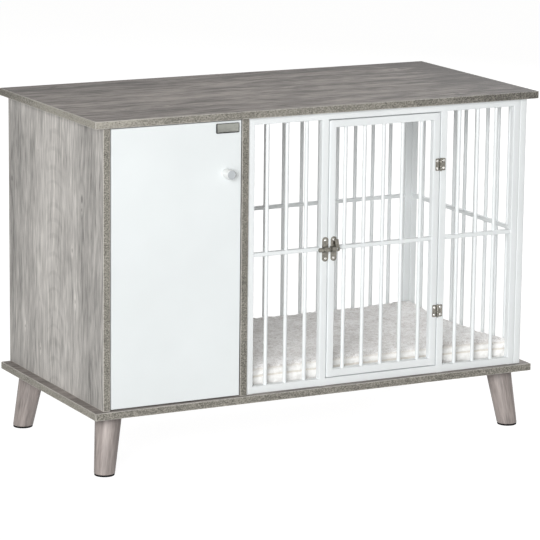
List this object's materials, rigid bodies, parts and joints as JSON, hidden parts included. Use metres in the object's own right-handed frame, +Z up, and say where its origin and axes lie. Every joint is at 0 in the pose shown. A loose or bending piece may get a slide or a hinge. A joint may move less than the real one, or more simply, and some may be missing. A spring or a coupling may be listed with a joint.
{
  "type": "dog crate end table",
  "caption": "Grey wood-look end table on splayed legs: a storage cabinet with a hinged white door beside a barred white kennel with a latched barred door and a cushion.",
  "frame": {"origin": "on the floor under the middle of the bounding box, with the cabinet at -X and the doors facing -Y", "axes": "+X to the right as seen from the front, along the table; +Y to the back; +Z up"},
  "size_m": [1, 0.495, 0.712],
  "materials": {
    "grey_laminate": "matte grey wood-grain laminate on particle board",
    "grey_leg_wood": "matte grey wood grain",
    "white_board": "matte white laminate",
    "white_knob": "matte white",
    "white_paint": "satin white powder coat",
    "nickel_steel": "antique nickel plate",
    "zinc_steel": "bright zinc plate",
    "black_rubber": "matte black",
    "plush_fabric": "short cream-grey plush"
  },
  "bodies": {
    "table": {"top_panel": "grey_laminate", "bottom_panel": "grey_laminate", "left_side_panel": "grey_laminate", "divider_panel": "grey_laminate", "cabinet_back_panel": "white_board", "cabinet_shelf": "grey_laminate", "shelf_pin_front_left": "zinc_steel", "shelf_pin_front_right": "zinc_steel", "shelf_pin_rear_left": "zinc_steel", "shelf_pin_rear_right": "zinc_steel", "lower_hinge_plate": "zinc_steel", "lower_hinge_arm": "zinc_steel", "upper_hinge_plate": "zinc_steel", "upper_hinge_arm": "zinc_steel", "cage_front_frame": "white_paint", "cage_back_frame": "white_paint", "cage_side_frame": "white_paint", "lower_hinge_frame_leaf": "nickel_steel", "lower_hinge_pin": "nickel_steel", "upper_hinge_frame_leaf": "nickel_steel", "upper_hinge_pin": "nickel_steel", "latch_keeper": "nickel_steel", "leg_front_left": "grey_leg_wood", "leg_front_right": "grey_leg_wood", "leg_rear_left": "grey_leg_wood", "leg_rear_right": "grey_leg_wood", "foot_cap_front_left": "black_rubber", "foot_cap_front_right": "black_rubber", "foot_cap_rear_left": "black_rubber", "foot_cap_rear_right": "black_rubber", "leg_bolt_front_left": "zinc_steel", "leg_bolt_front_right": "zinc_steel", "leg_bolt_rear_left": "zinc_steel", "leg_bolt_rear_right": "zinc_steel", "cushion": "plush_fabric"},
    "cabinet_door": {"cabinet_door": "white_board", "door_knob": "white_knob", "lower_hinge_cup": "zinc_steel", "upper_hinge_cup": "zinc_steel"},
    "cage_door": {"cage_door": "white_paint", "lower_hinge_door_leaf": "nickel_steel", "upper_hinge_door_leaf": "nickel_steel", "latch_plate": "nickel_steel"},
    "latch_bolt": {"latch_bolt": "nickel_steel"}
  },
  "joints": [
    {"name": "cabinet_door_hinge", "type": "hinge", "parent": "table", "child": "cabinet_door", "pos_m": [-0.4625, -0.2245, 0.416], "axis": [0, 0, -1], "range_deg": [0, 95]},
    {"name": "cage_door_hinge", "type": "hinge", "parent": "table", "child": "cage_door", "pos_m": [0.2753, -0.223, 0.416], "axis": [0, 0, 1], "range_deg": [0, 175]},
    {"name": "latch_bolt_slide", "type": "slide", "parent": "cage_door", "child": "latch_bolt", "axis": [1, 0, 0], "range_m": [0, 0.028]}
  ]
}
